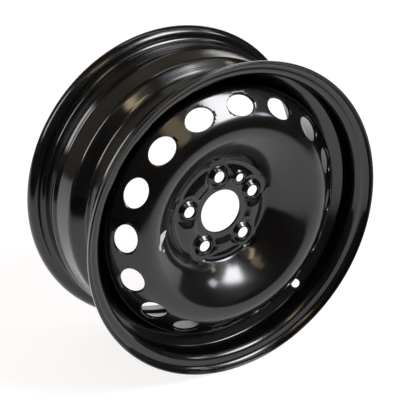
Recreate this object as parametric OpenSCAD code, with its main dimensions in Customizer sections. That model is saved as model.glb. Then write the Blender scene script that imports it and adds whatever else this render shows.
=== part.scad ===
// Pressed-steel road wheel, drop-centre rim with a welded disc.
// Millimetres. The axle lies along Y, the street face looks to -Y, +Z is up.
// The origin is the wheel's centre, halfway between the two flanges.
//
// Both sheets are drawn as bent strips: a list of corners [radius, height, inside bend radius],
// joined by straight runs and round bends of the sheet's own thickness, then turned round the axle.
// Height is measured along the axle from the wheel's centre plane, positive towards the street face.

/* [Rim] */
// Width between the tyre faces of the two flanges
rim_width = 152.4; // [148:0.1:158]
// Diameter of the bead seats, measured at the flanges
bead_diameter = 380.2; // [378:0.1:383]
// Height of a flange above its bead seat
flange_height = 17.4; // [17.3:0.1:19]
// Radius of a flange's curl on the tyre side
flange_curl = 11; // [9:0.1:11]
// How far a lip runs on past the curl
lip_run = 0.8; // [0.4:0.1:3]
// Radius of the corner that a tyre's heel sits in
heel_radius = 6.5; // [5:0.1:6.5]
// Thickness of the rim's sheet
rim_sheet = 2.6; // [2.2:0.1:3]

/* [Bead seats and well] */
// Width of a bead seat
seat_width = 20; // [19.8:0.1:21.5]
// Slope of a bead seat in degrees
seat_slope = 5; // [4:0.1:6]
// Rise of a safety hump above the end of its seat, before its crest is rounded
hump_rise = 3; // [2:0.1:3.4]
// Run of a safety hump from the seat to its crest
hump_run = 7; // [6.8:0.1:8]
// Depth of the well below the bead seats
well_depth = 20; // [19:0.1:22]
// Slope of the well's front side in degrees
well_slope = 60; // [56:0.5:64]
// Width of the well's floor between its corners
well_floor = 35.5; // [33:0.1:38]
// Height of the back ledge above the well's floor
ledge_rise = 14.8; // [13:0.1:16]
// Slope of the well's back side in degrees
ledge_slope = 53; // [48:0.5:58]

/* [Valve hole] */
// Diameter of the valve hole
valve_d = 11.3; // [10:0.1:12]
// Place of the valve hole down the well's front slope, as a part of its length
valve_place = 0.43; // [0.38:0.01:0.55]
// Angle of the valve hole round the wheel; the vents and bolts count from it
valve_angle = 311; // [0:0.5:359.5]

/* [Hub pad] */
// Offset of the hub face from the wheel's centre plane
hub_offset = 39; // [36:0.1:42]
// Diameter of the centre bore
bore_d = 58.1; // [54:0.1:60]
// Diameter of the bolt circle
bolt_circle = 98; // [96:0.1:100]
// Number of bolts
bolt_count = 5; // [5:1:5]
// Diameter of a bolt hole
bolt_d = 14.8; // [13:0.1:15.6]
// Whole angle of a bolt's coned seat in degrees
seat_cone = 60; // [56:1:70]
// Diameter of a coned seat at its mouth
seat_mouth_d = 18.2; // [17.4:0.1:19]
// Length of the plain wall behind a coned seat
bolt_wall = 1.3; // [1:0.1:2]
// Diameter of the hollow behind each bolt's seat, at the hub face
hollow_d = 22; // [20:0.1:23]
// Rise of a bolt boss above the pad
boss_rise = 5.6; // [5:0.1:6]
// Diameter of a boss at its top
boss_top_d = 21; // [20.4:0.1:22]
// Diameter of a boss at its foot
boss_foot_d = 28.4; // [27.4:0.1:29]
// Width of the trench round a boss
trench = 2; // [1.6:0.1:2.6]
// Rise of the lands between the bolts
land_rise = 3.2; // [2.4:0.1:3.3]
// Depth of a trench below the pad's front face
trench_sink = 0.25; // [0.2:0.05:0.6]
// Radius of the clearance for a wheel brace's socket, pressed outwards at each bolt
socket_r = 14.5; // [13.5:0.1:15]
// Distance of that clearance outwards from the bolt
socket_shift = 9; // [8:0.1:9.5]
// Diameter of the locating hole
locating_d = 11; // [8:0.1:12]

/* [Disc] */
// Thickness of the disc's sheet
disc_sheet = 3.5; // [3.4:0.1:4]
// Radius at which the bowl rises from the pad
bowl_foot_r = 68.5; // [68:0.1:70]
// How much steeper than a straight side the round bowl starts at its foot, in degrees
bowl_start = 10; // [8:0.5:12]
// How much flatter than a straight side the round bowl ends at the crown, in degrees
bowl_end = 12; // [10:0.5:14]
// Inside bend radius of the bowl's round side, where its wall leaves room for it
bowl_bend = 96.5; // [60:0.5:110]
// Distance of the crown's ring from the circle through the vents, towards the axle
crown_reach = 26.3; // [25:0.1:28]
// Inside bend radius of the crown
crown_bend = 25.5; // [23:0.1:27]
// Slope of the outer cone that carries the vents, in degrees
cone_slope = 39; // [36:0.1:41]
// Inside bend radius between the outer cone and the skirt
skirt_bend = 6; // [4:0.1:8]
// Length of the skirt that bears on the well's floor
skirt_grip = 20; // [14:0.1:24]
// Clearance between the skirt and the well
skirt_gap = 0.05; // [0.05:0.01:0.15]

/* [Vents] */
// Number of vents
vent_count = 16; // [12:1:16]
// Radius of the circle through the vents' centres
vent_circle_r = 149.6; // [148:0.1:151]
// Distance of the vents' centres in front of the wheel's centre plane
vent_height = 69; // [67:0.1:71]
// Length of a vent along the circle
vent_l = 37.6; // [34:0.1:40]
// Width of a vent across the circle
vent_w = 28; // [24:0.1:29]

/* [Welds] */
// Number of weld runs
weld_count = 8; // [4:1:10]
// Length of a weld run in degrees
weld_angle = 24; // [12:1:30]
// Leg of the weld's fillet
weld_leg = 4; // [2.5:0.1:5]

/* [Hidden] */
$fn = 180;
paint_black = [0.07, 0.07, 0.07];
weld_black = [0.09, 0.09, 0.09];
bend_step = 9;
past = 1;

// Rim
half_w = rim_width / 2;
bead_r = bead_diameter / 2;
flange_r = bead_r + flange_height;
curl_bend = flange_curl - rim_sheet;
lip_h = half_w + flange_curl + lip_run;
foot_h = half_w - seat_width;
foot_r = bead_r - seat_width * tan(seat_slope);
crest_h = foot_h - hump_run;
crest_r = foot_r + hump_rise;
well_r = bead_r - well_depth;
well_front_h = crest_h - (crest_r - well_r) / tan(well_slope);
well_back_h = well_front_h - well_floor;
ledge_r = well_r + ledge_rise;
ledge_h = well_back_h - ledge_rise / tan(ledge_slope);
hump_foot_h = -crest_h + hump_run;
hump_foot_r = foot_r - 1;
foot_bend = 6;
crest_bend = 3;
well_bend = 8;

rim_corners = [
  [flange_r, lip_h],
  [flange_r, half_w, curl_bend],
  [bead_r, half_w, heel_radius],
  [foot_r, foot_h, foot_bend],
  [crest_r, crest_h, crest_bend],
  [well_r, well_front_h, well_bend],
  [well_r, well_back_h, well_bend],
  [ledge_r, ledge_h, well_bend],
  [hump_foot_r, hump_foot_h, foot_bend],
  [crest_r, -crest_h, crest_bend],
  [foot_r, -foot_h, foot_bend],
  [bead_r, -half_w, heel_radius],
  [flange_r, -half_w, curl_bend],
  [flange_r, -lip_h]
];

valve_r = crest_r + (well_r - crest_r) * valve_place;
valve_h = crest_h + (well_front_h - crest_h) * valve_place;

// Disc
bore_r = bore_d / 2;
pad_h = hub_offset + disc_sheet;
bolt_r = bolt_circle / 2;
trench_r = boss_foot_d / 2 + trench;
seat_depth = (seat_mouth_d - bolt_d) / 2 / tan(seat_cone / 2);
hollow_h = pad_h + boss_rise - seat_depth - bolt_wall;
hollow_top_d = bolt_d + 1.6;
hollow_flare = (hollow_d - hollow_top_d) / (hollow_h - hub_offset);
trench_wall = 2.5;
ring_r = bore_r + 9.95;
land_in_r = bolt_r - 7;
groove_r = bowl_foot_r - 5.5;
land_fall = 9;
land_out_r = groove_r - land_fall;
skirt_r = well_r - rim_sheet - skirt_gap;
skirt_h = vent_height - (skirt_r - vent_circle_r) * tan(cone_slope);
skirt_end_h = well_front_h - skirt_grip;
// A straight side would run from the bowl's foot to the crown's bend and touch it
crown_ring_r = vent_circle_r - crown_reach;
// The crown's bend touches the outer cone, and the bowl's upper run touches the crown's bend
crown_face = crown_bend + disc_sheet;
crown_mid_h = vent_height + crown_reach * tan(cone_slope) - crown_face / cos(cone_slope);
foot_to_mid = [crown_ring_r - bowl_foot_r, crown_mid_h - pad_h];
straight_slope = atan2(foot_to_mid.y, foot_to_mid.x) + asin(crown_face / norm(foot_to_mid));
bowl_slope = straight_slope + bowl_start;
shoulder_slope = straight_slope - bowl_end;
upper_r = crown_ring_r - crown_face * sin(shoulder_slope);
upper_h = crown_mid_h + crown_face * cos(shoulder_slope);
// The crown's corner is where that run's line and the outer cone's line cross
crown_r = (vent_height - upper_h + vent_circle_r * tan(cone_slope) + upper_r * tan(shoulder_slope))
  / (tan(cone_slope) + tan(shoulder_slope));
crown_h = upper_h + (crown_r - upper_r) * tan(shoulder_slope);
// The shoulder's corner is where the bowl's lower and upper lines cross
shoulder_r = (upper_h - pad_h + bowl_foot_r * tan(bowl_slope) - upper_r * tan(shoulder_slope))
  / (tan(bowl_slope) - tan(shoulder_slope));
shoulder_h = pad_h + (shoulder_r - bowl_foot_r) * tan(bowl_slope);
groove_bend = 5;
groove_take = groove_bend * tan(atan(land_rise / land_fall) / 2);
foot_room = 0.97 * (bowl_foot_r - groove_r - groove_take) / tan(bowl_slope / 2);
foot_fold = min(8, foot_room);
run_below = (shoulder_r - bowl_foot_r) / cos(bowl_slope) - foot_fold * tan(bowl_slope / 2);
run_above = (upper_r - shoulder_r) / cos(shoulder_slope);
shoulder_room = 0.97 * min(run_below, run_above) / tan((bowl_slope - shoulder_slope) / 2);
shoulder_bend = min(bowl_bend, shoulder_room - disc_sheet);

disc_corners = [
  [bore_r, pad_h],
  [ring_r, pad_h, 2],
  [land_in_r, pad_h + land_rise, 2],
  [land_out_r, pad_h + land_rise, 5],
  [groove_r, pad_h, groove_bend],
  [bowl_foot_r, pad_h, foot_fold],
  [shoulder_r, shoulder_h, shoulder_bend],
  [crown_r, crown_h, crown_bend],
  [skirt_r, skirt_h, skirt_bend],
  [skirt_r, skirt_end_h]
];

bolt_step = 360 / bolt_count;
locating_angle = valve_angle + 1.5 * bolt_step;
vent_sides = 28;

// Bent sheet

function unit(v) = v / norm(v);
function flat(p) = [p.x, p.y];
function right_of(v) = [v.y, -v.x];

// Points round the bend at corner b between a and c, on the drawn face or, with other true, on its back.
function bend(a, b, c, inside, sheet, other) =
  let (
    u = unit(a - b),
    v = unit(c - b),
    s = sign(cross(b - a, c - b)),
    face_r = s > 0 ? inside : inside + sheet,
    half = acos(u * v) / 2,
    o = b + unit(u + v) * face_r / sin(half),
    first = b + u * face_r / tan(half) - o,
    start = atan2(first.y, first.x),
    sweep = s * (180 - 2 * half),
    r = other ? face_r + s * sheet : face_r,
    n = max(2, ceil(abs(sweep) / bend_step))
  )
  [for (i = [0:n]) o + r * [cos(start + sweep * i / n), sin(start + sweep * i / n)]];

// One face of the whole strip.
function strip_face(corners, sheet, other) =
  let (
    last = len(corners) - 1,
    d0 = unit(flat(corners[1]) - flat(corners[0])),
    d1 = unit(flat(corners[last]) - flat(corners[last - 1])),
    off = other ? sheet : 0
  )
  concat(
    [flat(corners[0]) + off * right_of(d0)],
    [
      for (i = [1:last - 1])
        each bend(flat(corners[i - 1]), flat(corners[i]), flat(corners[i + 1]), corners[i][2], sheet, other)
    ],
    [flat(corners[last]) + off * right_of(d1)]
  );

// Points of the round edge that closes a strip, from its face round to its back.
function round_edge(p, dir, sheet, steps) =
  let (o = p + right_of(dir) * sheet / 2)
  [
    for (i = [1:steps - 1])
      o + sheet / 2 * (dir * sin(180 * i / steps) - right_of(dir) * cos(180 * i / steps))
  ];

function reversed(list) = [for (i = [len(list) - 1:-1:0]) list[i]];

module strip(corners, sheet, round_start, round_end) {
  last = len(corners) - 1;
  d0 = unit(flat(corners[1]) - flat(corners[0]));
  d1 = unit(flat(corners[last]) - flat(corners[last - 1]));
  polygon(concat(
    strip_face(corners, sheet, false),
    round_end ? round_edge(flat(corners[last]), d1, sheet, 8) : [],
    reversed(strip_face(corners, sheet, true)),
    round_start ? round_edge(flat(corners[0]) + right_of(d0) * sheet, -d0, sheet, 8) : []
  ));
}

// Places

// Turns a shape drawn with its axis along Z so that the axis lies along the axle, street face to -Y.
module on_axle() {
  rotate([90, 0, 0])
    children();
}

module round_wheel(count, from) {
  for (i = [0:count - 1])
    rotate([0, 0, from + i * 360 / count])
      children();
}

module at_bolts() {
  round_wheel(bolt_count, valve_angle)
    translate([bolt_r, 0, 0])
      children();
}

// Rim

module valve_hole() {
  rotate([0, 0, valve_angle])
    translate([valve_r, 0, valve_h])
      rotate([0, well_slope - 90, 0])
        cylinder(d = valve_d, h = 8 * rim_sheet, center = true);
}

module rim() {
  color(paint_black)
    on_axle()
      difference() {
        rotate_extrude()
          strip(rim_corners, rim_sheet, true, true);
        valve_hole();
      }
}

// Disc

module vent_outline() {
  polygon([
    for (i = [0:vent_sides - 1])
      [vent_w / 2 * cos(360 * i / vent_sides), vent_l / 2 * sin(360 * i / vent_sides)]
  ]);
}

module vents() {
  round_wheel(vent_count, valve_angle)
    translate([vent_circle_r, 0, vent_height])
      rotate([0, cone_slope, 0])
        linear_extrude(height = 8 * disc_sheet, center = true)
          vent_outline();
}

// Everything between the hub face and the front face of the pad and the bowl.
module under_front() {
  rotate_extrude()
    polygon([
      [bore_r, hub_offset],
      [crown_r, hub_offset],
      [crown_r, crown_h],
      [shoulder_r, shoulder_h],
      [bowl_foot_r, pad_h],
      [bore_r, pad_h]
    ]);
}

// Flat floors at the bolts: under each boss and its trench, and round each socket clearance with its wall.
module pad_floors() {
  intersection() {
    under_front();
    at_bolts()
      translate([0, 0, hub_offset]) {
        cylinder(r = trench_r + trench_wall, h = disc_sheet);
        translate([socket_shift, 0, 0])
          cylinder(r = socket_r + disc_sheet, h = disc_sheet + 2 * land_rise);
      }
  }
}

// What the trenches take off the lands, and the clearances off the foot of the bowl.
module pad_cuts() {
  at_bolts()
    translate([0, 0, pad_h - trench_sink]) {
      cylinder(r = trench_r, h = land_rise + past);
      translate([socket_shift, 0, 0])
        cylinder(r = socket_r, h = 3 * land_rise);
    }
}

module bosses() {
  at_bolts()
    translate([0, 0, pad_h - past])
      cylinder(d1 = boss_foot_d, d2 = boss_top_d, h = boss_rise + past);
}

// A bolt's hole: the hollow that the press leaves behind the boss, the plain wall and the coned seat.
module bolt_holes() {
  at_bolts() {
    translate([0, 0, hub_offset - past])
      cylinder(d1 = hollow_d + hollow_flare * past, d2 = hollow_top_d, h = hollow_h - hub_offset + past);
    translate([0, 0, hub_offset])
      cylinder(d = bolt_d, h = disc_sheet + boss_rise + past);
    translate([0, 0, pad_h + boss_rise - seat_depth])
      cylinder(d1 = bolt_d, d2 = seat_mouth_d, h = seat_depth);
  }
}

module locating_hole() {
  rotate([0, 0, locating_angle])
    translate([bolt_r, 0, hub_offset - past])
      cylinder(d = locating_d, h = disc_sheet + land_rise + 2 * past);
}

module disc() {
  color(paint_black)
    on_axle()
      difference() {
        union() {
          difference() {
            union() {
              rotate_extrude()
                strip(disc_corners, disc_sheet, false, false);
              pad_floors();
            }
            pad_cuts();
          }
          bosses();
        }
        vents();
        locating_hole();
        bolt_holes();
      }
}

// Welds

module weld_runs() {
  color(weld_black)
    on_axle()
      round_wheel(weld_count, valve_angle + 180 / weld_count - weld_angle / 2)
        rotate_extrude(angle = weld_angle)
          polygon([
            [skirt_r + skirt_gap, skirt_end_h],
            [skirt_r + skirt_gap, skirt_end_h - weld_leg],
            [skirt_r + skirt_gap - weld_leg * 0.8, skirt_end_h]
          ]);
}

rim();
disc();
weld_runs();
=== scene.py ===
# %% [markdown]
# A road wheel pressed from steel sheet, gloss black, without its tyre. Two pressings make it: the rim,
# a rolled strip with a flange at each edge, and the disc, a domed blank that is pushed into the rim and
# welded there. Both are surfaces of revolution with holes cut into them, so both are made the way a
# metal spinner would think of them: draw the section of the sheet, turn it round the axle, give it its
# thickness, press the relief and cut the holes. The imported model comes first, as the frame that every
# piece has to fit.

# %% Load the frame
import math

import bpy
from mathutils import Matrix, Vector


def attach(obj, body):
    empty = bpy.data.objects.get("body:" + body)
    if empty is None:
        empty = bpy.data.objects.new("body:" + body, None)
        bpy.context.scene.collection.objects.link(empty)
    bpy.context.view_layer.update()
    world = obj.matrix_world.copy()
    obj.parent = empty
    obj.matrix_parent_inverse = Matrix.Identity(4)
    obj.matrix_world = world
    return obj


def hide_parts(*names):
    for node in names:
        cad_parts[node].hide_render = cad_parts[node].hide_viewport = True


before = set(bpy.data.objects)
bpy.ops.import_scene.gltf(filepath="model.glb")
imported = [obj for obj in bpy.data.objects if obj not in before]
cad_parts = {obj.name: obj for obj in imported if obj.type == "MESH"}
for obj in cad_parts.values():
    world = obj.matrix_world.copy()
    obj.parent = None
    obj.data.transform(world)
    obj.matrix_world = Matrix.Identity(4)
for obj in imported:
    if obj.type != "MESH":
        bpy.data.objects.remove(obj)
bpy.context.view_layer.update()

MM = 0.001
scene = bpy.context.scene
scene.view_settings.view_transform = "Standard"

# %% [markdown]
# The wheel's own frame has the axle along Y, with the street face towards -Y, and +Z up. The camera was
# found by fitting the ellipses of the two flanges and of the centre bore, so it needs no guessing here:
# a long lens, to the left of the wheel, above it and in front. A camera looks along its own -Z, so
# the three axes of its turn are its right, its up and the reverse of where it looks.

# %% Camera
CAMERA_PLACE = (-0.6736, -1.1111, 0.6041)
CAMERA_RIGHT = (0.8570, -0.5153, 0.0)
CAMERA_UP = (0.2176, 0.3620, 0.9064)
CAMERA_BACK = (-0.4671, -0.7768, 0.4223)
CAMERA_LENS = 99.74

lens = bpy.data.cameras.new("camera")
lens.lens = CAMERA_LENS
lens.sensor_width = 36.0
lens.clip_end = 50.0
camera = bpy.data.objects.new("camera", lens)
scene.collection.objects.link(camera)
turn = Matrix((CAMERA_RIGHT, CAMERA_UP, CAMERA_BACK)).transposed()
camera.matrix_world = Matrix.Translation(CAMERA_PLACE) @ turn.to_4x4()
scene.camera = camera
print("camera at", CAMERA_PLACE, "lens", CAMERA_LENS)

# %% [markdown]
# Gloss black paint shows almost nothing of its own colour. What the eye reads is what the paint mirrors:
# the white floor as a grey veil, the dark room above it as black, and the lamps as bright patches. So
# the studio is built with care. The world is plain white for every ray that looks at it, and a weaker
# white for the light it sheds, so that the background stays white without bleaching the wheel.

# %% World


def add_node(tree, kind, place=(0, 0), **values):
    """Add a shader node and set its properties."""
    made = tree.nodes.new(kind)
    made.location = place
    for key, value in values.items():
        setattr(made, key, value)
    return made


def seen_rays(tree):
    """A factor of 1 for rays that look at the background: from the camera, a mirror or glass."""
    path = add_node(tree, "ShaderNodeLightPath", (-900, 300))
    first = add_node(tree, "ShaderNodeMath", (-700, 300), operation="MAXIMUM")
    both = add_node(tree, "ShaderNodeMath", (-520, 300), operation="MAXIMUM")
    tree.links.new(path.outputs["Is Camera Ray"], first.inputs[0])
    tree.links.new(path.outputs["Is Glossy Ray"], first.inputs[1])
    tree.links.new(first.outputs[0], both.inputs[0])
    tree.links.new(path.outputs["Is Transmission Ray"], both.inputs[1])
    return both.outputs[0]


AMBIENT = 0.4
world = bpy.data.worlds.new("studio_air")
scene.world = world
world.use_nodes = True
tree = world.node_tree
tree.nodes.clear()
air_light = add_node(tree, "ShaderNodeBackground", (-200, 100))
air_light.inputs["Color"].default_value = (1.0, 1.0, 1.0, 1.0)
air_light.inputs["Strength"].default_value = AMBIENT
air_white = add_node(tree, "ShaderNodeBackground", (-200, -100))
air_white.inputs["Color"].default_value = (1.0, 1.0, 1.0, 1.0)
air_white.inputs["Strength"].default_value = 1.0
choose = add_node(tree, "ShaderNodeMixShader", (50, 0))
out = add_node(tree, "ShaderNodeOutputWorld", (250, 0))
tree.links.new(seen_rays(tree), choose.inputs[0])
tree.links.new(air_light.outputs[0], choose.inputs[1])
tree.links.new(air_white.outputs[0], choose.inputs[2])
tree.links.new(choose.outputs[0], out.inputs["Surface"])
print("ambient", AMBIENT)

# %% [markdown]
# The floor is a sheet of white paper. It ends a little in front of the wheel and to its left, and those
# two edges can be read in the paint: they are where the grey veil on the bowl and on the outer cone stops
# and the black begins. The change is soft, so in reflections the paper fades out over a few hand's
# breadths, while the camera sees it white all over. It is lit by the lamp so that it keeps the
# wheel's shadow, with a glow for the rays that look at it.

# %% Floor
WHEEL_RADIUS = 207.5
FLOOR_Z = -WHEEL_RADIUS * MM
FLOOR_SIDE, FLOOR_MIDDLE = 6.0, (0.3, 1.9)
FLOOR_WHITE, FLOOR_DARK, FLOOR_GLOW = 0.34, 0.01, 0.86
GLOW_TINT = (1.0, 0.975, 0.97, 1.0)
# An edge is the direction across it, and how far along that the paper is gone and is whole, in metres.
FRONT_EDGE = ((0.0, 1.0, 0.0), -0.98, -0.47)
LEFT_EDGE = ((0.82, 0.57, 0.0), -0.90, -0.62)

bpy.ops.object.select_all(action="DESELECT")
bpy.ops.mesh.primitive_plane_add(size=1.0, location=(0, 0, 0))
floor = bpy.context.object
floor.name = "floor"
bpy.ops.object.mode_set(mode="EDIT")
bpy.ops.mesh.select_all(action="SELECT")
bpy.ops.transform.resize(value=(FLOOR_SIDE, FLOOR_SIDE, 1.0), center_override=(0, 0, 0))
bpy.ops.transform.translate(value=(*FLOOR_MIDDLE, FLOOR_Z))
bpy.ops.object.mode_set(mode="OBJECT")

floor_white = bpy.data.materials.new("floor_white")
floor_white.use_nodes = True
tree = floor_white.node_tree
tree.nodes.clear()
spot = add_node(tree, "ShaderNodeTexCoord", (-1300, -200)).outputs["Object"]
lit = seen_rays(tree)
paper = None
for row, (across, dark, bright) in enumerate((FRONT_EDGE, LEFT_EDGE)):
    far = add_node(tree, "ShaderNodeVectorMath", (-1100, -300 * row - 200), operation="DOT_PRODUCT")
    far.inputs[1].default_value = across
    fade = add_node(tree, "ShaderNodeMapRange", (-900, -300 * row - 200),
                    interpolation_type="SMOOTHSTEP")
    fade.inputs["From Min"].default_value = dark
    fade.inputs["From Max"].default_value = bright
    times = add_node(tree, "ShaderNodeMath", (-700, -300 * row - 200), operation="MULTIPLY")
    times.inputs[1].default_value = 1.0
    tree.links.new(spot, far.inputs[0])
    tree.links.new(far.outputs["Value"], fade.inputs["Value"])
    tree.links.new(fade.outputs["Result"], times.inputs[0])
    if paper is not None:
        tree.links.new(paper, times.inputs[1])
    paper = times.outputs[0]
looked_at = add_node(tree, "ShaderNodeMath", (-600, -500), operation="MAXIMUM")
path = add_node(tree, "ShaderNodeLightPath", (-900, -800))
tree.links.new(paper, looked_at.inputs[0])
tree.links.new(path.outputs["Is Camera Ray"], looked_at.inputs[1])
paper = looked_at.outputs[0]
matt = add_node(tree, "ShaderNodeBsdfDiffuse", (-200, 100))
tone = add_node(tree, "ShaderNodeMix", (-400, 150), data_type="RGBA")
tone.inputs["A"].default_value = (FLOOR_DARK, FLOOR_DARK, FLOOR_DARK, 1.0)
tone.inputs["B"].default_value = (FLOOR_WHITE, FLOOR_WHITE, FLOOR_WHITE, 1.0)
tree.links.new(paper, tone.inputs["Factor"])
tree.links.new(tone.outputs["Result"], matt.inputs["Color"])
glow = add_node(tree, "ShaderNodeEmission", (-200, -100))
glow.inputs["Color"].default_value = GLOW_TINT
share = add_node(tree, "ShaderNodeMath", (-380, -100), operation="MULTIPLY")
share.inputs[1].default_value = FLOOR_GLOW
seen = add_node(tree, "ShaderNodeMath", (-500, -100), operation="MULTIPLY")
both = add_node(tree, "ShaderNodeAddShader", (50, 0))
out = add_node(tree, "ShaderNodeOutputMaterial", (250, 0))
tree.links.new(lit, seen.inputs[0])
tree.links.new(paper, seen.inputs[1])
tree.links.new(seen.outputs[0], share.inputs[0])
tree.links.new(share.outputs[0], glow.inputs["Strength"])
tree.links.new(matt.outputs[0], both.inputs[0])
tree.links.new(glow.outputs[0], both.inputs[1])
tree.links.new(both.outputs[0], out.inputs["Surface"])
floor.data.materials.append(floor_white)
print("floor", [round(v, 3) for v in floor.dimensions])

# %% [markdown]
# Round the paper stands a dark room that only reflections see. Each bright patch on its wall was worked
# out from a highlight: the point of the paint that shows it, the paint's slope there and the camera give
# the mirrored direction. A patch is a soft-edged box in azimuth, counted from straight in front of the
# street face towards +X, and in elevation above the horizon. The big one is the soft box over the right
# shoulder; a second soft box on the left draws the fine streaks along the barrel's bends.

# %% Dark room
ROOM_R = 6.0
ROOM_WALL = (0.050, 0.043, 0.038)
ROOM_PATCHES = [
    # azimuth, elevation, half width, half height, softness, all in degrees, and the colour as seen
    (33, 46, 14, 11, 12, (19.0, 19.2, 20.0)),
    (33, 46, 24, 18, 16, (1.6, 1.6, 1.7)),
    (57, 27.5, 5, 4, 4, (9.0, 8.8, 9.8)),
    (72, 40, 4, 2.5, 4, (4.8, 4.6, 3.0)),
    (-25, 51, 12, 3, 4, (6.4, 5.1, 3.3)),
    (-13, 43, 8, 5, 5, (2.2, 1.75, 1.1)),
    (-7, 35, 4, 5, 5, (1.5, 1.2, 0.75)),
    (-100, 34, 9, 15, 8, (8.5, 8.5, 8.6)),
    (-45, 60, 32, 9, 12, (0.55, 0.45, 0.32)),
    (75, 60, 25, 14, 16, (0.8, 0.8, 0.8)),
    (150, 67, 34, 6, 9, (2.0, 1.95, 1.8)),
    (147, 8, 10, 9, 6, (1.4, 1.36, 1.34)),
    (-160, 25, 32, 24, 26, (0.17, 0.14, 0.11)),
    (160, 32, 24, 12, 18, (0.12, 0.10, 0.08)),
]

bpy.ops.object.select_all(action="DESELECT")
bpy.ops.mesh.primitive_uv_sphere_add(segments=48, ring_count=24, radius=ROOM_R, location=(0, 0, 0))
room = bpy.context.object
room.name = "dark_room"
room.visible_camera = False
room.visible_diffuse = False
room.visible_transmission = False
room.visible_shadow = False
room_dark = bpy.data.materials.new("room_dark")
room_dark.use_nodes = True
tree = room_dark.node_tree
tree.nodes.clear()


def wire(kind, *feeds, **values):
    """Add a node, link or set its first inputs, and give its first output."""
    made = add_node(tree, kind, (100 * (len(tree.nodes) % 12), -60 * len(tree.nodes)), **values)
    for socket, feed in zip(made.inputs, feeds):
        if isinstance(feed, bpy.types.NodeSocket):
            tree.links.new(feed, socket)
        else:
            socket.default_value = feed
    return made.outputs[0]


spot = add_node(tree, "ShaderNodeTexCoord").outputs["Object"]
split = add_node(tree, "ShaderNodeSeparateXYZ")
tree.links.new(wire("ShaderNodeVectorMath", spot, operation="NORMALIZE"), split.inputs[0])
x, y, z = split.outputs
front = wire("ShaderNodeMath", y, -1.0, operation="MULTIPLY")
around = wire("ShaderNodeMath", x, front, operation="ARCTAN2")
azimuth = wire("ShaderNodeMath", around, operation="DEGREES")
above = wire("ShaderNodeMath", z, operation="ARCSINE")
height = wire("ShaderNodeMath", above, operation="DEGREES")


def box_edge(value, middle, half, soft):
    """1 within half of the middle, 0 outside it, with a soft step between."""
    off = wire("ShaderNodeMath", value, float(middle), operation="SUBTRACT")
    off = wire("ShaderNodeMath", off, -180.0, 180.0, operation="WRAP")
    off = wire("ShaderNodeMath", off, operation="ABSOLUTE")
    return wire("ShaderNodeMapRange", off, half + soft / 2, max(0.0, half - soft / 2), 0.0, 1.0,
                interpolation_type="SMOOTHSTEP")


total = ROOM_WALL
for az, el, wide, high, soft, colour in ROOM_PATCHES:
    level = wire("ShaderNodeMath", box_edge(azimuth, az, wide, soft), box_edge(height, el, high, soft),
                 operation="MULTIPLY")
    tint = add_node(tree, "ShaderNodeVectorMath", operation="SCALE")
    tint.inputs[0].default_value = colour
    tree.links.new(level, tint.inputs["Scale"])
    total = wire("ShaderNodeVectorMath", tint.outputs[0], total, operation="ADD")
glow = wire("ShaderNodeEmission", total)
tree.links.new(glow, add_node(tree, "ShaderNodeOutputMaterial").inputs["Surface"])
room.data.materials.append(room_dark)
print("dark room with", len(ROOM_PATCHES), "patches")

# %% [markdown]
# One soft box does the lighting, in the direction of the brightest patch. The patch already gives the
# paint its highlight, so the lamp itself isn't seen in reflections: it only sheds light and casts the
# shadow. Its strength is written as radiance, where 1 is plain white, and turned into watts.

# %% Lamp
KEY_TOWARD = (0.385, -0.550, 0.740)
KEY_DISTANCE, KEY_SIDE, KEY_RADIANCE = 1.8, 0.84, 11.0

light = bpy.data.lights.new("key_lamp", "AREA")
light.shape = "SQUARE"
light.size = KEY_SIDE
light.energy = KEY_RADIANCE * math.pi * KEY_SIDE ** 2
lamp = bpy.data.objects.new("key_lamp", light)
scene.collection.objects.link(lamp)
lamp.location = Vector(KEY_TOWARD).normalized() * KEY_DISTANCE
lamp.rotation_euler = lamp.location.to_track_quat("Z", "Y").to_euler()
lamp.visible_camera = False
lamp.visible_glossy = False
print("key lamp", round(light.energy, 1), "W at", [round(c, 2) for c in lamp.location])

# %% [markdown]
# The paint is one dipped and baked coat of black, and its gloss comes from a smooth top layer. Small
# faults give it life: the fine ripple that painters call orange peel, the slow waves that the press left
# in the sheet, and dust that dried in it. On the barrel the rolls have left faint lines all the way
# round. Bump does this best, because none of it is deeper than a quarter of a millimetre: each noise has
# its height in metres, as the real fault has.

# %% Paint
COAT_ROLLED, COAT_PRESSED = 0.07, 0.11
WAVE_SCALE, WAVE_DEEP = 13.0, 0.00016
PEEL_SCALE, PEEL_DEEP = 210.0, 0.000012
ROLL_STRETCH, ROLL_DEEP = (2.5, 420.0, 2.5), 0.00022
WORN_SCALE, GRAIN_SCALE = 34.0, 170.0
BLACK, DUST = (0.0018, 0.0016, 0.0016, 1.0), (0.040, 0.038, 0.036, 1.0)


def add_noise(tree, coords, scale, detail, place, stretch=None):
    """A noise in the object's own metres, stretched along its axes if wanted."""
    noise = add_node(tree, "ShaderNodeTexNoise", place)
    noise.inputs["Scale"].default_value = scale
    noise.inputs["Detail"].default_value = detail
    if stretch:
        mapping = add_node(tree, "ShaderNodeMapping", (place[0] - 200, place[1]))
        mapping.inputs["Scale"].default_value = stretch
        tree.links.new(coords, mapping.inputs["Vector"])
        coords = mapping.outputs["Vector"]
    tree.links.new(coords, noise.inputs["Vector"])
    return noise.outputs[0]


def add_bump(tree, height, metres, before, place):
    """A bump of so many metres on top of the bumps before it."""
    bump = add_node(tree, "ShaderNodeBump", place)
    bump.inputs["Strength"].default_value = 1.0
    bump.inputs["Distance"].default_value = metres
    tree.links.new(height, bump.inputs["Height"])
    if before is not None:
        tree.links.new(before, bump.inputs["Normal"])
    return bump.outputs["Normal"]


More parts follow.
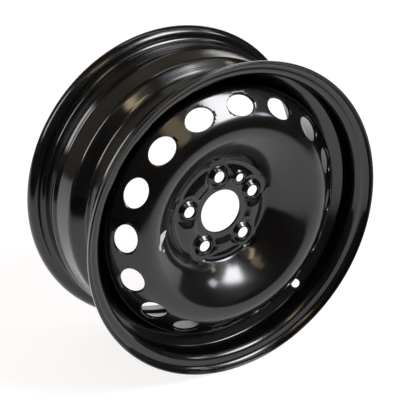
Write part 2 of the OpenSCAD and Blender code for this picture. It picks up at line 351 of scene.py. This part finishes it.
def paint_black(name, rolled):
    """Gloss black on steel sheet; rolled adds the lines that the rim's rolls leave."""
    made = bpy.data.materials.new(name)
    made.use_nodes = True
    tree = made.node_tree
    shader = tree.nodes["Principled BSDF"]
    shader.inputs["IOR"].default_value = 1.5
    shader.inputs["Specular IOR Level"].default_value = 0.12
    shader.inputs["Coat Weight"].default_value = 1.0
    shader.inputs["Coat Roughness"].default_value = COAT_ROLLED if rolled else COAT_PRESSED
    coords = add_node(tree, "ShaderNodeTexCoord", (-1500, 0)).outputs["Object"]

    waves = add_noise(tree, coords, WAVE_SCALE, 1.0, (-1000, -600))
    peel = add_noise(tree, coords, PEEL_SCALE, 2.0, (-1000, -800))
    normal = add_bump(tree, waves, WAVE_DEEP, None, (-600, -600))
    normal = add_bump(tree, peel, PEEL_DEEP, normal, (-400, -700))
    if rolled:
        lines = add_noise(tree, coords, 1.0, 2.0, (-1000, -1000), ROLL_STRETCH)
        normal = add_bump(tree, lines, ROLL_DEEP, normal, (-200, -800))
    tree.links.new(normal, shader.inputs["Normal"])
    tree.links.new(normal, shader.inputs["Coat Normal"])

    worn = add_noise(tree, coords, WORN_SCALE, 4.0, (-1000, 0))
    gloss = add_node(tree, "ShaderNodeMapRange", (-600, 0))
    gloss.inputs["From Min"].default_value = 0.35
    gloss.inputs["From Max"].default_value = 0.7
    gloss.inputs["To Min"].default_value = 0.32
    gloss.inputs["To Max"].default_value = 0.48
    tree.links.new(worn, gloss.inputs["Value"])
    tree.links.new(gloss.outputs[0], shader.inputs["Roughness"])

    grains = add_node(tree, "ShaderNodeTexVoronoi", (-1000, 300))
    grains.inputs["Scale"].default_value = GRAIN_SCALE
    tree.links.new(coords, grains.inputs["Vector"])
    dust = add_node(tree, "ShaderNodeMapRange", (-800, 300))
    dust.inputs["From Min"].default_value = 0.075
    dust.inputs["From Max"].default_value = 0.045
    tree.links.new(grains.outputs["Distance"], dust.inputs["Value"])
    colour = add_node(tree, "ShaderNodeMix", (-400, 300), data_type="RGBA")
    colour.inputs["A"].default_value = BLACK
    colour.inputs["B"].default_value = DUST
    tree.links.new(dust.outputs[0], colour.inputs["Factor"])
    tree.links.new(colour.outputs["Result"], shader.inputs["Base Color"])
    return made


rim_black = paint_black("gloss_black_rolled", True)
disc_black = paint_black("gloss_black_pressed", False)
print("paints", rim_black.name, disc_black.name)

# %% [markdown]
# The rim's section is a bent strip: a list of corners, each with the inside radius of its bend. It could
# be drawn as a curve, but a mesh vertex that is extruded along the straight runs and spun round each
# bend's centre gives the same line with exact radii, and the whole line can then be spun round the axle.
# The drawn face is the tyre's side. Radius runs along X and height, towards the street, along -Y.

# %% Section of a bent strip
MERGE, TIP, BEND_LONGEST = 0.002 * MM, 0.7 * MM, 4 * MM


def start_line(name, point):
    """A new mesh with one selected vertex, left in edit mode."""
    bpy.ops.object.select_all(action="DESELECT")
    bpy.ops.mesh.primitive_plane_add(size=1.0, location=(0, 0, 0))
    made = bpy.context.object
    made.name = name
    made.data.name = name
    bpy.ops.object.mode_set(mode="EDIT")
    bpy.ops.mesh.select_all(action="SELECT")
    bpy.ops.mesh.merge(type="CENTER")
    bpy.ops.transform.translate(value=(point.x, point.y, 0))
    return made


def close_up():
    """In edit mode: merge all points that coincide, and turn the faces outwards."""
    bpy.ops.mesh.select_all(action="SELECT")
    bpy.ops.mesh.remove_doubles(threshold=MERGE)
    bpy.ops.mesh.normals_make_consistent(inside=False)


def run_to(here, there, longest):
    """Extrude the selected vertex to a point in equal steps, with a short step at each end."""
    way = there - here
    length = way.length
    marks = [0.0, length]
    if length > 4 * TIP:
        inner = length - 2 * TIP
        count = max(1, math.ceil(inner / longest))
        marks = [0.0] + [TIP + inner * i / count for i in range(count + 1)] + [length]
    for a, b in zip(marks, marks[1:]):
        step = way * ((b - a) / length)
        bpy.ops.mesh.extrude_region_move(TRANSFORM_OT_translate={"value": (step.x, step.y, 0)})
    return there


def draw_strip(name, corners, sheet, bend_step, near, far, near_r=0.0):
    """Draw a strip's face from corners (radius, height, inside bend) in millimetres.

    Steps along straight runs are at most near within near_r of the axle, and at most far beyond it."""
    points = [Vector((c[0], -c[1])) * MM for c in corners]
    made = start_line(name, points[0])
    here = points[0]
    for before, corner, after, values in zip(points, points[1:], points[2:], corners[1:]):
        u, v = (before - corner).normalized(), (after - corner).normalized()
        half = math.acos(max(-1.0, min(1.0, u.dot(v)))) / 2
        left = (corner - before).cross(after - corner) > 0
        radius = (values[2] + (sheet if left else 0.0)) * MM
        centre = corner + (u + v).normalized() * (radius / math.sin(half))
        longest = (near if corner.x < near_r * MM else far) * MM
        here = run_to(here, corner + u * (radius / math.tan(half)), longest)
        sweep = math.pi - 2 * half
        steps = max(2, math.ceil(math.degrees(sweep) / bend_step),
                    math.ceil(radius * sweep / BEND_LONGEST))
        bpy.ops.mesh.spin(steps=steps, angle=-sweep if left else sweep, center=(centre.x, centre.y, 0),
                          axis=(0, 0, 1), use_auto_merge=False)
        here = corner + v * (radius / math.tan(half))
    run_to(here, points[-1], far * MM)
    return made


def turn_round_axle(made, steps, outward):
    """Spin the line round the axle, close the seam and point the faces the way that outward tells."""
    bpy.ops.mesh.select_all(action="SELECT")
    bpy.ops.mesh.spin(steps=steps, angle=2 * math.pi, center=(0, 0, 0), axis=(0, 1, 0))
    close_up()
    bpy.ops.object.mode_set(mode="OBJECT")
    if not outward(made.data):
        bpy.ops.object.mode_set(mode="EDIT")
        bpy.ops.mesh.select_all(action="SELECT")
        bpy.ops.mesh.flip_normals()
        bpy.ops.object.mode_set(mode="OBJECT")
    print(made.name, len(made.data.vertices), "vertices", len(made.data.polygons), "faces")


def apply_modifier(made, kind, **values):
    """Add a modifier with its values and apply it."""
    bpy.ops.object.select_all(action="DESELECT")
    bpy.context.view_layer.objects.active = made
    made.select_set(True)
    modifier = made.modifiers.new(kind.lower(), kind)
    for key, value in values.items():
        setattr(modifier, key, value)
    bpy.ops.object.modifier_apply(modifier=modifier.name)


# %% [markdown]
# The rim is rolled from one strip of 2.6 mm sheet: a curled flange at each edge, a bead seat with a small
# safety hump inside it, and the well in the middle, which lets a tyre slip on. Solidify gives the turned
# line its thickness on the axle's side, and a bevel rounds the two lips, as the edge roll does. The slope
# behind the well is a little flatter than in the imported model, because its reflection asks for it.

# %% Rim
RIM_SHEET, RIM_STEPS, LIP_ROUND = 2.6, 240, 1.25
WELL_R, HALF_WIDTH, LIP_H = 170.1, 76.2, 89.3
SHARP = math.radians(60)
RIM_CORNERS = [
    (WHEEL_RADIUS, LIP_H, 0.0), (WHEEL_RADIUS, HALF_WIDTH, 8.4), (190.1, HALF_WIDTH, 6.5),
    (188.35, 56.2, 6.0), (191.35, 49.2, 3.0), (WELL_R, 36.93, 8.0), (WELL_R, 2.6, 8.0),
    (184.9, -11.6, 8.0), (187.35, -42.2, 6.0), (191.35, -49.2, 3.0), (188.35, -56.2, 6.0),
    (190.1, -HALF_WIDTH, 6.5), (WHEEL_RADIUS, -HALF_WIDTH, 8.4), (WHEEL_RADIUS, -LIP_H, 0.0)]


def faces_tyre(mesh):
    """True if the faces of the well's floor look away from the axle."""
    face = next(p for p in mesh.polygons
                if abs(math.hypot(p.center.x, p.center.z) - WELL_R * MM) < 0.4 * MM)
    return face.normal.x * face.center.x + face.normal.z * face.center.z > 0


rim = draw_strip("rim_barrel", RIM_CORNERS, RIM_SHEET, bend_step=7.5, near=60, far=60)
turn_round_axle(rim, RIM_STEPS, faces_tyre)
apply_modifier(rim, "SOLIDIFY", thickness=RIM_SHEET * MM, offset=-1.0, use_even_offset=True)
apply_modifier(rim, "BEVEL", width=LIP_ROUND * MM, segments=4, limit_method="ANGLE", angle_limit=SHARP)
print("rim faces", len(rim.data.polygons))

# %% [markdown]
# The valve hole is punched square through the well's front slope, and both its edges are broken so that
# they don't cut the rubber of the valve. A turned cutter with a wider mouth at each end does punch and
# edges in one cut. Its place is written as an angle round the wheel, a radius, a height and a tilt.

# %% Valve hole


def turned_cutter(name, outline, steps):
    """A closed solid turned from (radius, height) points in millimetres, its axis on Z."""
    made = start_line(name, Vector((outline[0][0], 0)) * MM)
    bpy.ops.transform.translate(value=(0, 0, outline[0][1] * MM))
    for a, b in zip(outline, outline[1:]):
        step = ((b[0] - a[0]) * MM, 0, (b[1] - a[1]) * MM)
        bpy.ops.mesh.extrude_region_move(TRANSFORM_OT_translate={"value": step})
    bpy.ops.mesh.select_all(action="SELECT")
    bpy.ops.mesh.spin(steps=steps, angle=2 * math.pi, center=(0, 0, 0), axis=(0, 0, 1))
    close_up()
    bpy.ops.object.mode_set(mode="OBJECT")
    return made


def on_wheel(angle, radius, height, tilt):
    """Where a piece goes whose Z points to the street, tilted outwards by some degrees."""
    a = math.radians(angle)
    out = Vector((math.cos(a), 0, math.sin(a)))
    street = Vector((0, -1, 0))
    lean = math.radians(tilt)
    up = out * math.sin(lean) + street * math.cos(lean)
    along = out * math.cos(lean) - street * math.sin(lean)
    side = up.cross(along)
    place = (out * radius + street * height) * MM
    return Matrix.Translation(place) @ Matrix((along, side, up)).transposed().to_4x4()


def set_round(first, places, name):
    """Copy a piece to all its places, each copy with its own mesh, and join them."""
    copies = []
    for place in places:
        copy = first.copy()
        copy.data = first.data.copy()
        scene.collection.objects.link(copy)
        copy.matrix_world = place
        copies.append(copy)
    bpy.data.objects.remove(first)
    bpy.ops.object.select_all(action="DESELECT")
    for copy in copies:
        copy.select_set(True)
    bpy.context.view_layer.objects.active = copies[0]
    if len(copies) > 1:
        bpy.ops.object.join()
    made = bpy.context.view_layer.objects.active
    made.name = name
    bpy.ops.object.transform_apply(location=True, rotation=True, scale=True)
    return made


def combine(target, tool, operation, **values):
    """Cut a tool out of a piece, or join it to the piece, and throw the tool away."""
    apply_modifier(target, "BOOLEAN", object=tool, operation=operation, solver="EXACT", **values)
    bpy.data.objects.remove(tool)


VALVE_ANGLE = 311.0
VALVE_SEAT = (VALVE_ANGLE, 181.56, 45.05, -30.0)
VALVE_OUTLINE = [
    (0, -8), (7.2, -8), (7.2, -1.75), (6.3, -1.3), (5.85, -0.9), (5.65, -0.4), (5.65, 0.4),
    (5.85, 0.9), (6.3, 1.3), (7.2, 1.75), (7.2, 8), (0, 8)]
SMALL_STEPS = 48

valve_tool = turned_cutter("valve_tool", VALVE_OUTLINE, SMALL_STEPS)
valve_tool = set_round(valve_tool, [on_wheel(*VALVE_SEAT)], "valve_tool")
combine(rim, valve_tool, "DIFFERENCE")
print("rim with valve hole", len(rim.data.polygons))

# %% [markdown]
# The disc is the pressing that takes the most skill. Its section runs from the centre bore over the flat
# hub pad, up the round bowl, over the crown and down the outer cone to the skirt that stands in the well.
# The bowl's side is not straight: it starts steep at the foot and turns steadily flatter towards the
# crown, and the floor's reflection only lies right if that curve is right. The pad gets close rings,
# because its relief is pressed later, and Solidify notes which points are the back's.

# %% Disc
DISC_SHEET, DISC_STEPS, EDGE_ROUND = 3.5, 288, 0.5
BORE_R, PAD_H = 29.05, 42.5
SKIRT_R, SKIRT_END_H = 167.45, 16.93
DISC_CORNERS = [
    (BORE_R, PAD_H, 0.0), (68.5, PAD_H, 8.0), (86.05, 64.97, 96.5), (126.06, 88.06, 25.5),
    (SKIRT_R, 54.55, 6.0), (SKIRT_R, SKIRT_END_H, 0.0)]


def faces_street(mesh):
    """True if the pad's faces look to the street."""
    pad = next(p for p in mesh.polygons if math.hypot(p.center.x, p.center.z) < 60 * MM)
    return pad.normal.y < 0


disc = draw_strip("disc_pressing", DISC_CORNERS, DISC_SHEET, bend_step=5.0, near=1.1, far=4.0,
                  near_r=90.0)
turn_round_axle(disc, DISC_STEPS, faces_street)
disc.vertex_groups.new(name="back")
apply_modifier(disc, "SOLIDIFY", thickness=DISC_SHEET * MM, offset=-1.0, use_even_offset=True,
               shell_vertex_group="back")
apply_modifier(disc, "BEVEL", width=EDGE_ROUND * MM, segments=2, limit_method="ANGLE", angle_limit=SHARP)
print("disc faces", len(disc.data.polygons))

# %% [markdown]
# Sixteen oval vents let air through to the brakes. The press coins a small round into their street edge
# after punching, and that edge is the thin line round each vent. One cutter is made from a circle that is
# extruded and scaled ring by ring, and copied round the wheel. The coined rings are lowered towards the
# ends of the oval, because the cone under a flat cutter falls away there.

# %% Vents
VENT_COUNT, VENT_POINTS = 16, 56
VENT_R, VENT_H, CONE_SLOPE = 149.6, 69.0, 39.0
VENT_HALF_W, VENT_HALF_L = 14.0, 18.8
# Each ring of the cutter: how far it lies outside the vent's edge, and its height over the cone's face.
VENT_RINGS = [(2.9, 1.4), (0.85, 0.0), (0.4, -0.3), (0.1, -0.75), (0.0, -1.2), (0.0, -12.0)]


def vent_cutter():
    """One oval cutter, flared at the street face, that follows the cone's round."""
    bpy.ops.object.select_all(action="DESELECT")
    bpy.ops.mesh.primitive_circle_add(vertices=VENT_POINTS, radius=1.0, fill_type="NGON",
                                      location=(0, 0, 0))
    made = bpy.context.object
    made.name = "vent_tool"
    bpy.ops.object.mode_set(mode="EDIT")
    bpy.ops.mesh.select_all(action="SELECT")
    grow, depth = VENT_RINGS[0]
    size = ((VENT_HALF_W + grow) * MM, (VENT_HALF_L + grow) * MM, 1.0)
    bpy.ops.transform.resize(value=size, center_override=(0, 0, 0))
    bpy.ops.transform.translate(value=(0, 0, depth * MM))
    for (g0, d0), (g1, d1) in zip(VENT_RINGS, VENT_RINGS[1:]):
        bpy.ops.mesh.extrude_region_move(TRANSFORM_OT_translate={"value": (0, 0, (d1 - d0) * MM)})
        ratio = ((VENT_HALF_W + g1) / (VENT_HALF_W + g0), (VENT_HALF_L + g1) / (VENT_HALF_L + g0), 1.0)
        bpy.ops.transform.resize(value=ratio, center_override=(0, 0, 0))
    bpy.ops.mesh.select_all(action="SELECT")
    bpy.ops.mesh.normals_make_consistent(inside=False)
    bpy.ops.object.mode_set(mode="OBJECT")
    round_r = VENT_R / math.sin(math.radians(CONE_SLOPE)) * MM
    for v in made.data.vertices:
        if (VENT_RINGS[-1][1] + 0.1) * MM < v.co.z < (VENT_RINGS[0][1] - 0.1) * MM:
            v.co.z -= v.co.y ** 2 / (2 * round_r)
    bpy.ops.object.mode_set(mode="EDIT")
    bpy.ops.mesh.select_all(action="SELECT")
    bpy.ops.mesh.quads_convert_to_tris()
    bpy.ops.object.mode_set(mode="OBJECT")
    return made


vent_places = [on_wheel(VALVE_ANGLE + 360 / VENT_COUNT * i, VENT_R, VENT_H, CONE_SLOPE)
               for i in range(VENT_COUNT)]
vent_tools = set_round(vent_cutter(), vent_places, "vent_tools")
combine(disc, vent_tools, "DIFFERENCE")
print("disc with vents", len(disc.data.polygons))

# %% [markdown]
# The pad carries the wheel on its hub, and its relief keeps it from flexing: a raised land between each
# two bolts, a shallow trench round each bolt, and a clearance for the wheel brace's socket that bites
# into the foot of the bowl. A press moves metal along the axle only, so each point of the pad is weighed
# by how far it has to go, and two Displace modifiers along Y do the pressing, one out and one in.

# %% Lands, trenches and socket clearances
BOLT_R, BOLT_COUNT = 49.0, 5
BOLT_ANGLES = [VALVE_ANGLE + 360 / BOLT_COUNT * i for i in range(BOLT_COUNT)]
# A land climbs between two radii and falls off beyond a third, and it leaves a gap round each bolt.
LAND_RISE, LAND_FOOT_R, LAND_TOP_R = 3.2, 37.2, 44.8
LAND_FALL_R, LAND_FALL, FALL_CURVE = 50.0, 12.6, 2.1
TRENCH_R, TRENCH_DEEP = 16.2, 0.25
LAND_GAP_IN, LAND_GAP_OUT = 2.2, 5.8
SOCKET_R, SOCKET_SHIFT = 14.5, 9.0
SOFT_EDGE, BACK_WIDER = 1.0, 2.0
PRESS, PRESS_R, STILL = 8.0, 82.0, 1e-4


def smooth(low, high, value):
    """0 below low, 1 above high, and an even curve between them."""
    t = max(0.0, min(1.0, (value - low) / (high - low)))
    return t * t * (3 - 2 * t)


def ramp(low, high, value):
    """As smooth, but straighter: the wall of a pressing has one slope and tight bends at its ends."""
    t = max(0.0, min(1.0, (value - low) / (high - low)))
    return 0.65 * t + 0.35 * t * t * (3 - 2 * t)


def pressed(x, z, h, back):
    """How far the press moves a point of the pad towards the street, in millimetres."""
    r = math.hypot(x, z)
    wide = BACK_WIDER if back else 0.0
    fall = max(0.0, min(1.0, (r - LAND_FALL_R + wide) / (LAND_FALL - wide)))
    land = LAND_RISE * ramp(LAND_FOOT_R + wide, LAND_TOP_R + wide, r) * (1 - fall ** FALL_CURVE)
    sink, inside = 0.0, 0.0
    for angle in BOLT_ANGLES:
        a = math.radians(angle)
        d = math.hypot(x - BOLT_R * math.cos(a), z - BOLT_R * math.sin(a))
        reach = BOLT_R + SOCKET_SHIFT
        s = math.hypot(x - reach * math.cos(a), z - reach * math.sin(a))
        land *= ramp(TRENCH_R - LAND_GAP_IN + wide, TRENCH_R + LAND_GAP_OUT + wide, d)
        inside = max(inside, 1 - smooth(SOCKET_R - SOFT_EDGE + wide, SOCKET_R + SOFT_EDGE + wide, s))
        if not back:
            sink = max(sink, 1 - smooth(TRENCH_R - SOFT_EDGE, TRENCH_R + SOFT_EDGE, d))
    floor_h = PAD_H - TRENCH_DEEP - (DISC_SHEET if back else 0.0)
    level = h + land - TRENCH_DEEP * sink
    if level > floor_h:
        level += (floor_h - level) * inside
    return level - h


def press_pad(made):
    """Weigh the pad's points in two groups, and move each group along the axle."""
    back_group = made.vertex_groups["back"].index
    out_group = made.vertex_groups.new(name="pressed_out")
    in_group = made.vertex_groups.new(name="pressed_in")
    for v in made.data.vertices:
        if math.hypot(v.co.x, v.co.z) > PRESS_R * MM:
            continue
        back = any(g.group == back_group and g.weight > 0.5 for g in v.groups)
        move = pressed(v.co.x / MM, v.co.z / MM, -v.co.y / MM, back)
        if move > STILL:
            out_group.add([v.index], move / PRESS, "REPLACE")
        elif move < -STILL:
            in_group.add([v.index], -move / PRESS, "REPLACE")
    apply_modifier(made, "DISPLACE", direction="Y", strength=-PRESS * MM, mid_level=0.0,
                   vertex_group="pressed_out")
    apply_modifier(made, "DISPLACE", direction="Y", strength=PRESS * MM, mid_level=0.0,
                   vertex_group="pressed_in")
    made.vertex_groups.clear()
    for face in made.data.polygons:
        face.select = math.hypot(face.center.x, face.center.z) < PRESS_R * MM
    bpy.ops.object.mode_set(mode="EDIT")
    bpy.ops.mesh.select_mode(type="FACE")
    bpy.ops.mesh.quads_convert_to_tris()
    bpy.ops.mesh.select_mode(type="VERT")
    bpy.ops.object.mode_set(mode="OBJECT")


press_pad(disc)
print("pad pressed", len(disc.data.polygons))

# %% [markdown]
# Each bolt sits in a cone, and the cone stands in a boss: a small volcano that the press pushes up from
# behind, so that there is a hollow at the back. The boss's flank is what catches the light above every
# bolt hole. The bosses are turned and joined to the pad, and one turned cutter takes out hollow, hole and
# seat together. The small hole between two bolts locates the wheel; it has a low collar, made likewise.
# Bosses and collar are fitted to their reflections: the bosses end about 1 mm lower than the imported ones.

# %% Bolt bosses, their coned seats and the locating hole
BOSS_OUTLINE = [
    (0, 41.2), (15.2, 41.2), (15.0, 42.2), (14.4, 42.45), (13.7, 42.9), (12.9, 43.65), (12.0, 44.5),
    (11.0, 45.45), (10.2, 46.2), (9.7, 46.65), (9.3, 46.92), (8.9, 47.0), (0, 47.0)]
BOLT_OUTLINE = [
    (0, 30), (11.4, 30), (11.4, 38.6), (11.0, 39.1), (8.5, 43.5), (8.0, 43.8), (7.4, 43.9), (7.4, 45.1),
    (7.6, 45.5), (8.2, 46.5), (8.45, 46.85), (8.8, 47.05), (9.2, 47.15), (9.2, 52), (0, 52)]
COLLAR_OUTLINE = [
    (0, 43.5), (10.6, 43.5), (10.4, 45.1), (9.9, 45.55), (9.3, 45.9), (8.4, 46.6), (7.7, 47.05),
    (7.1, 47.2), (6.4, 47.25), (0, 47.25)]
LOCATING_OUTLINE = [
    (0, 30), (8.5, 30), (8.5, 40.5), (7.2, 43.0), (5.9, 44.4), (5.5, 44.7), (5.5, 46.6), (5.7, 47.0),
    (6.1, 47.2), (6.5, 47.35), (6.5, 52), (0, 52)]
BOLT_STEPS = 64
LOCATING_ANGLE = VALVE_ANGLE + 108.0

bolt_places = [on_wheel(a, BOLT_R, 0, 0) for a in BOLT_ANGLES]
locating_places = [on_wheel(LOCATING_ANGLE, BOLT_R, 0, 0)]
for name, outline, steps, places, operation in (
        ("bosses", BOSS_OUTLINE, BOLT_STEPS, bolt_places, "UNION"),
        ("bolt_tools", BOLT_OUTLINE, BOLT_STEPS, bolt_places, "DIFFERENCE"),
        ("collar", COLLAR_OUTLINE, SMALL_STEPS, locating_places, "UNION"),
        ("locating_tool", LOCATING_OUTLINE, SMALL_STEPS, locating_places, "DIFFERENCE")):
    combine(disc, set_round(turned_cutter(name, outline, steps), places, name), operation)
print("disc with holes", len(disc.data.polygons))

# %% [markdown]
# Something has knocked a flake of paint off the bowl, and the pale primer shows. A flake leaves a step as
# deep as the paint was, so it is cut: its outline is drawn flat, laid on the bowl by Shrinkwrap, sunk by
# the paint's thickness and extruded out to the street. The cut keeps the cutter's pale material on the
# bottom of the step.

# %% Paint chip
CHIP_OUTLINES = [
    [(-94.0, 8.4), (-96.5, 9.8), (-100.2, 10.0), (-104.0, 9.2), (-107.0, 8.2), (-107.4, 4.0),
     (-107.2, -0.5), (-109.1, -4.6), (-109.4, -8.6), (-108.4, -10.8), (-106.2, -12.6),
     (-105.4, -10.2), (-106.2, -6.8), (-104.6, -4.4), (-101.4, -1.4), (-98.2, 1.8), (-96.4, 5.2)],
    [(-101.2, -13.4), (-102.2, -15.2), (-101.4, -17.0), (-99.6, -16.0), (-99.4, -14.0)]]
PAINT_DEEP, CHIP_TALL, CHIP_AHEAD = 0.12, 3.0, 120.0
PALE, STAIN = (0.80, 0.77, 0.75, 1.0), (0.46, 0.43, 0.41, 1.0)
BLOTCH_SCALE, GRIT_SCALE, GRIT_DEEP = 420.0, 900.0, 0.00006

primer = bpy.data.materials.new("bare_primer")
primer.use_nodes = True
tree = primer.node_tree
shader = tree.nodes["Principled BSDF"]
coords = add_node(tree, "ShaderNodeTexCoord", (-1200, 0)).outputs["Object"]
stain = add_node(tree, "ShaderNodeMix", (-400, 200), data_type="RGBA")
stain.inputs["A"].default_value = PALE
stain.inputs["B"].default_value = STAIN
blotch = add_node(tree, "ShaderNodeMapRange", (-600, 200))
blotch.inputs["From Min"].default_value = 0.52
blotch.inputs["From Max"].default_value = 0.78
tree.links.new(add_noise(tree, coords, BLOTCH_SCALE, 4.0, (-900, 200)), blotch.inputs["Value"])
tree.links.new(blotch.outputs[0], stain.inputs["Factor"])
tree.links.new(stain.outputs["Result"], shader.inputs["Base Color"])
shader.inputs["Roughness"].default_value = 0.75
rough = add_noise(tree, coords, GRIT_SCALE, 3.0, (-900, -300))
tree.links.new(add_bump(tree, rough, GRIT_DEEP, None, (-400, -300)), shader.inputs["Normal"])

disc.data.materials.append(disc_black)
for outline in CHIP_OUTLINES:
    corners = [Vector((x, z)) * MM for x, z in outline]
    chip = start_line("chip_tool", corners[0])
    for a, b in zip(corners, corners[1:]):
        bpy.ops.mesh.extrude_region_move(TRANSFORM_OT_translate={"value": (b.x - a.x, b.y - a.y, 0)})
    bpy.ops.mesh.select_all(action="SELECT")
    bpy.ops.mesh.edge_face_add()
    bpy.ops.mesh.quads_convert_to_tris()
    bpy.ops.mesh.subdivide(number_cuts=2)
    bpy.ops.transform.rotate(value=-math.pi / 2, orient_axis="X", center_override=(0, 0, 0))
    bpy.ops.transform.translate(value=(0, -CHIP_AHEAD * MM, 0))
    bpy.ops.object.mode_set(mode="OBJECT")
    apply_modifier(chip, "SHRINKWRAP", target=disc, wrap_method="PROJECT", use_project_y=True,
                   use_positive_direction=True, use_negative_direction=False)
    bpy.ops.object.mode_set(mode="EDIT")
    bpy.ops.mesh.select_all(action="SELECT")
    bpy.ops.transform.translate(value=(0, PAINT_DEEP * MM, 0))
    bpy.ops.mesh.extrude_region_move(TRANSFORM_OT_translate={"value": (0, -CHIP_TALL * MM, 0)})
    bpy.ops.mesh.select_all(action="SELECT")
    bpy.ops.mesh.normals_make_consistent(inside=False)
    bpy.ops.object.mode_set(mode="OBJECT")
    chip.data.materials.append(primer)
    print("chip laid at", [round(c / MM, 1) for c in chip.data.vertices[0].co])
    combine(disc, chip, "DIFFERENCE", material_mode="TRANSFER")
print("disc with chip", len(disc.data.polygons), "faces", [m.name for m in disc.data.materials])

# %% [markdown]
# Behind the disc, eight arc welds hold its skirt in the well. They hardly show, but a part in a library
# is seen from every side. A weld bead is a row of frozen ripples: its section is drawn at the corner and
# spun along a short arc, and every ripple is a small swelling that a Displace modifier gives to rings at
# even steps. A bead sinks a little into both sheets, and its ends are drawn in, as where a welder starts
# and stops.

# %% Weld beads
WELD_COUNT, WELD_ANGLE = 8, 24.0
WELD_R, WELD_H = 167.5, SKIRT_END_H
WELD_SECTION = [
    (0.25, 0.35), (0.25, -1.6), (0.1, -3.7), (-0.7, -3.1), (-1.7, -2.2), (-2.5, -1.2), (-3.1, 0.0),
    (-3.0, 0.35)]
SUNK_R, SUNK_H = WELD_R + 0.2, WELD_H + 0.3
RIPPLES, RIPPLE_STEPS, RIPPLE_HIGH = 26, 6, 0.32
END_SHARE, END_IN = 0.035, 1.3

first = WELD_SECTION[0]
bead = start_line("weld_bead", Vector((WELD_R + first[0], -(WELD_H + first[1]))) * MM)
for a, b in zip(WELD_SECTION, WELD_SECTION[1:] + [first]):
    step = ((b[0] - a[0]) * MM, -(b[1] - a[1]) * MM, 0)
    bpy.ops.mesh.extrude_region_move(TRANSFORM_OT_translate={"value": step})
bpy.ops.mesh.select_all(action="SELECT")
bpy.ops.mesh.remove_doubles(threshold=MERGE)
bpy.ops.mesh.edge_face_add()
bpy.ops.mesh.spin(steps=RIPPLES * RIPPLE_STEPS, angle=math.radians(WELD_ANGLE), center=(0, 0, 0),
                  axis=(0, 1, 0))
close_up()
bpy.ops.object.mode_set(mode="OBJECT")
angles = [math.degrees(math.atan2(v.co.z, v.co.x)) for v in bead.data.vertices]
low, high = min(angles), max(angles)
swell = bead.vertex_groups.new(name="swell")
drawn_in = bead.vertex_groups.new(name="drawn_in")
for v, angle in zip(bead.data.vertices, angles):
    if math.hypot(v.co.x, v.co.z) > SUNK_R * MM or -v.co.y > SUNK_H * MM:
        continue
    along = (angle - low) / (high - low)
    swell.add([v.index], abs(math.sin(math.pi * RIPPLES * along)), "REPLACE")
    drawn_in.add([v.index], 1 - smooth(0.0, END_SHARE, min(along, 1 - along)), "REPLACE")
apply_modifier(bead, "DISPLACE", direction="NORMAL", strength=RIPPLE_HIGH * MM, mid_level=0.0,
               vertex_group="swell")
apply_modifier(bead, "DISPLACE", direction="NORMAL", strength=-END_IN * MM, mid_level=0.0,
               vertex_group="drawn_in")
bead.vertex_groups.clear()
pitch, middle = 360 / WELD_COUNT, (low + high) / 2
weld_places = [Matrix.Rotation(-math.radians(VALVE_ANGLE + pitch / 2 + pitch * i - middle), 4, "Y")
               for i in range(WELD_COUNT)]
welds = set_round(bead, weld_places, "weld_beads")
print("weld beads", len(welds.data.polygons))

# %% [markdown]
# The welds are painted over with the rest of the wheel, but the paint lies thinner and duller on them.
# The cuts leave slivers a few thousandths of a millimetre wide, which are merged away. Smooth shading by
# angle keeps the round bends round and the punched edges sharp. Each piece rides on the wheel's only
# body, gets its black paint and stands for its imported node.

# %% Finish
SLIVER, SMOOTH_ANGLE = 0.004 * MM, math.radians(40)
WELD_COAT, WELD_COAT_ROUGH = 0.35, 0.2

weld_black = paint_black("weld_black", False)
shader = weld_black.node_tree.nodes["Principled BSDF"]
shader.inputs["Coat Weight"].default_value = WELD_COAT
shader.inputs["Coat Roughness"].default_value = WELD_COAT_ROUGH

for piece, cad_node, paint in ((rim, "rim", rim_black), (disc, "disc", disc_black),
                               (welds, "weld_runs", weld_black)):
    bpy.ops.object.select_all(action="DESELECT")
    piece.select_set(True)
    bpy.context.view_layer.objects.active = piece
    bpy.ops.object.mode_set(mode="EDIT")
    bpy.ops.mesh.select_all(action="SELECT")
    bpy.ops.mesh.remove_doubles(threshold=SLIVER)
    bpy.ops.mesh.dissolve_degenerate(threshold=SLIVER)
    bpy.ops.mesh.normals_make_consistent(inside=False)
    bpy.ops.object.mode_set(mode="OBJECT")
    bpy.ops.object.shade_smooth_by_angle(angle=SMOOTH_ANGLE)
    if not piece.data.materials:
        piece.data.materials.append(paint)
    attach(piece, "root")
    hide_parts(cad_node)
    print(piece.name, len(piece.data.polygons), "faces for", cad_node)
